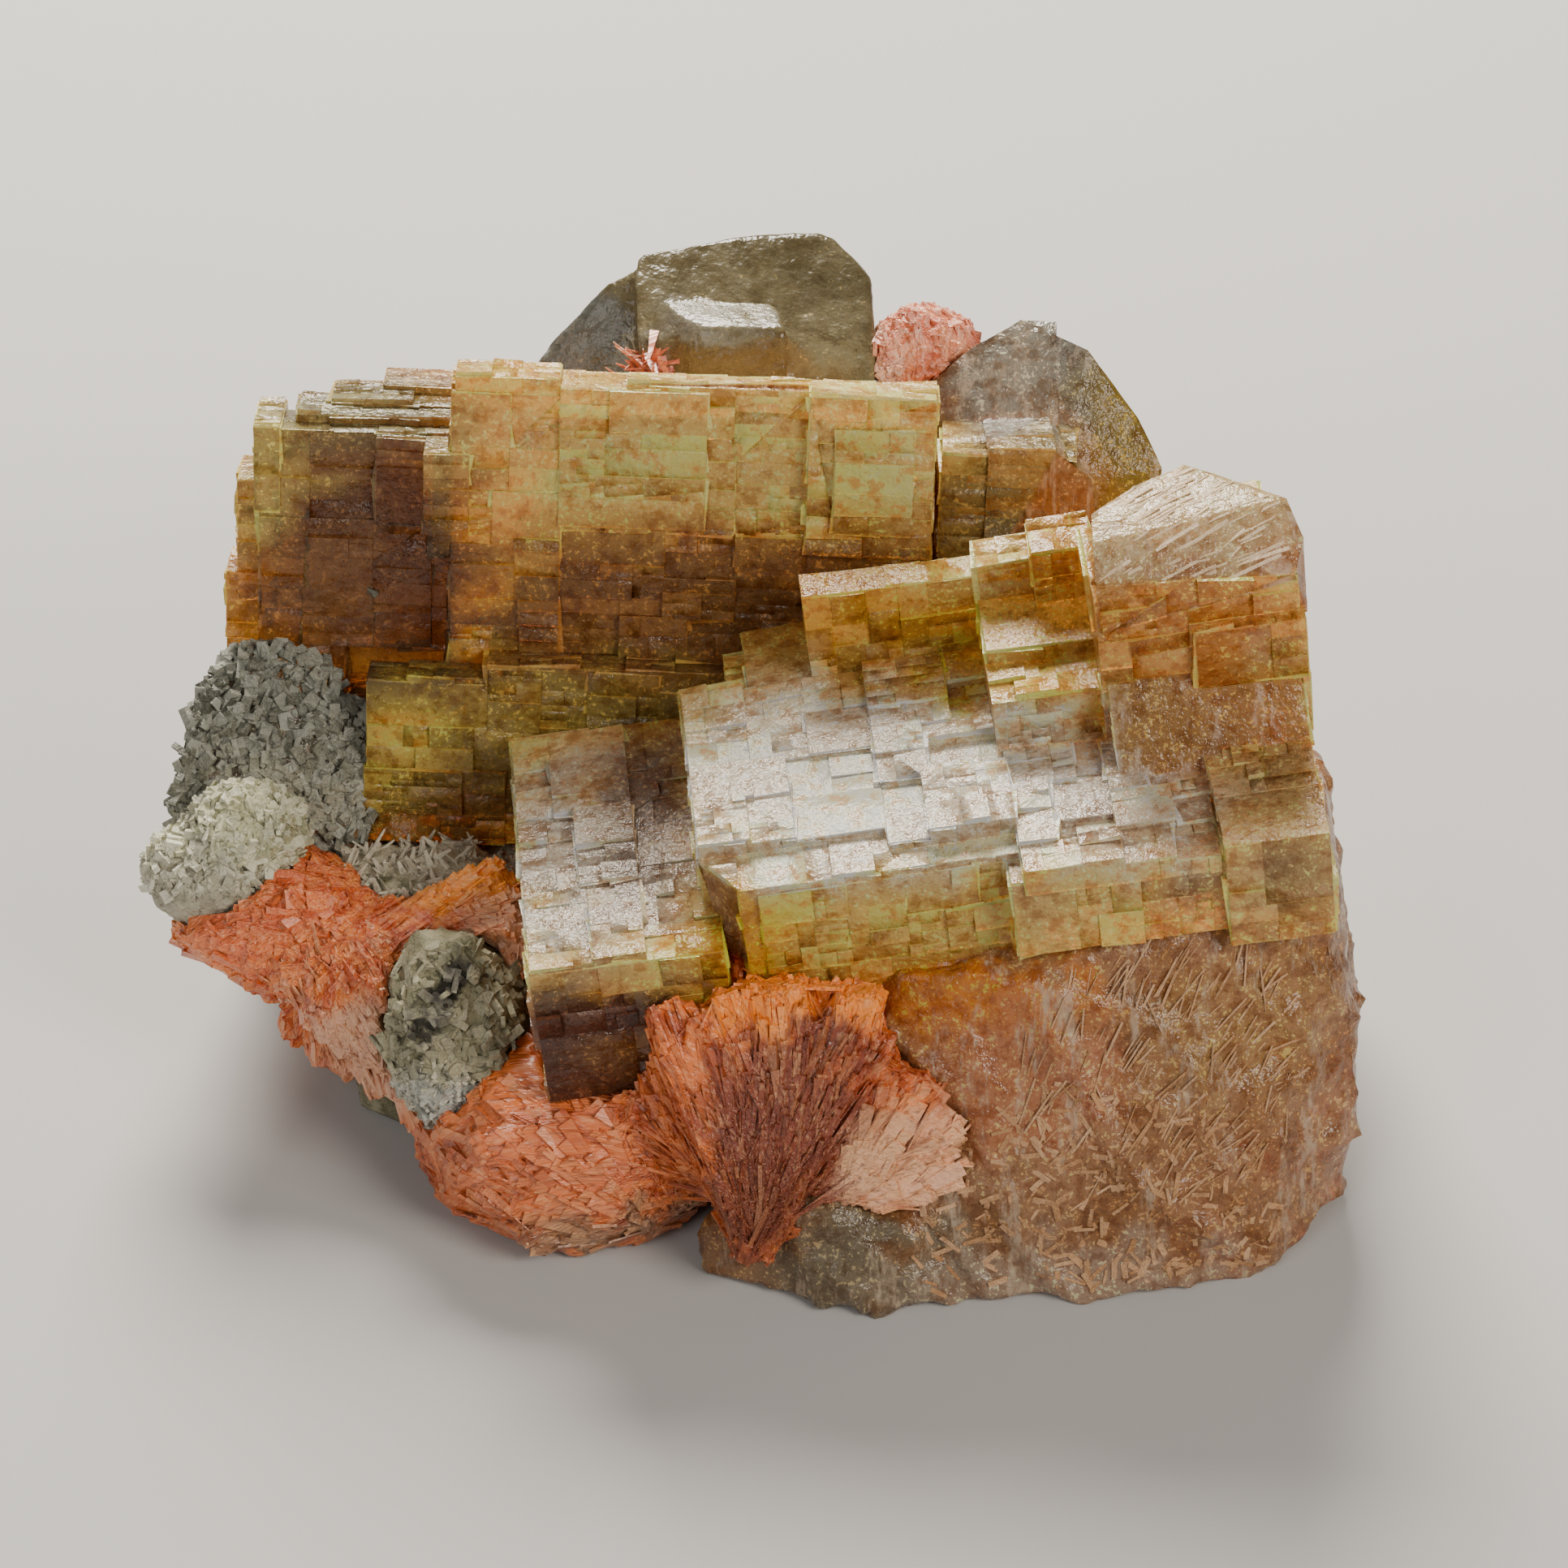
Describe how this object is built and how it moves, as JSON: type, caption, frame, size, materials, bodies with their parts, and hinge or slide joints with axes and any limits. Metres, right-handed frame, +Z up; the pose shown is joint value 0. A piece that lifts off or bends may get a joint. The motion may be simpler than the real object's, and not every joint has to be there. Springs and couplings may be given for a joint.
{
  "type": "fluorite on matrix",
  "caption": "Hand specimen of stepped yellow fluorite cubes grown together on orange barite and pale altered rock, with a rough left slope and a flat base to rest on.",
  "frame": {"origin": "under the middle of the specimen's box, on the flat surface that it rests on", "axes": "+X to the right of the pictured face, +Y away from the viewer towards the back, +Z up"},
  "size_m": [0.0908, 0.0688, 0.0535],
  "materials": {
    "honey_fluorite": "glossy translucent honey-yellow crystal with stepped growth faces",
    "grey_fluorite": "smoky olive-grey translucent crystal, slightly duller than the yellow one",
    "orange_barite": "pearly orange-red blades and fibres with cream tips",
    "drusy_crust": "sparkling pale grey-green crust of small crystals",
    "green_rock": "dull earthy greenish-grey altered rock"
  },
  "bodies": {
    "root": {"fluorite_cluster": "honey_fluorite", "rear_fluorite": "grey_fluorite", "rear_barite": "orange_barite", "front_barite": "orange_barite", "left_barite": "orange_barite", "drusy_crust": "drusy_crust", "host_rock": "green_rock"}
  },
  "joints": []
}
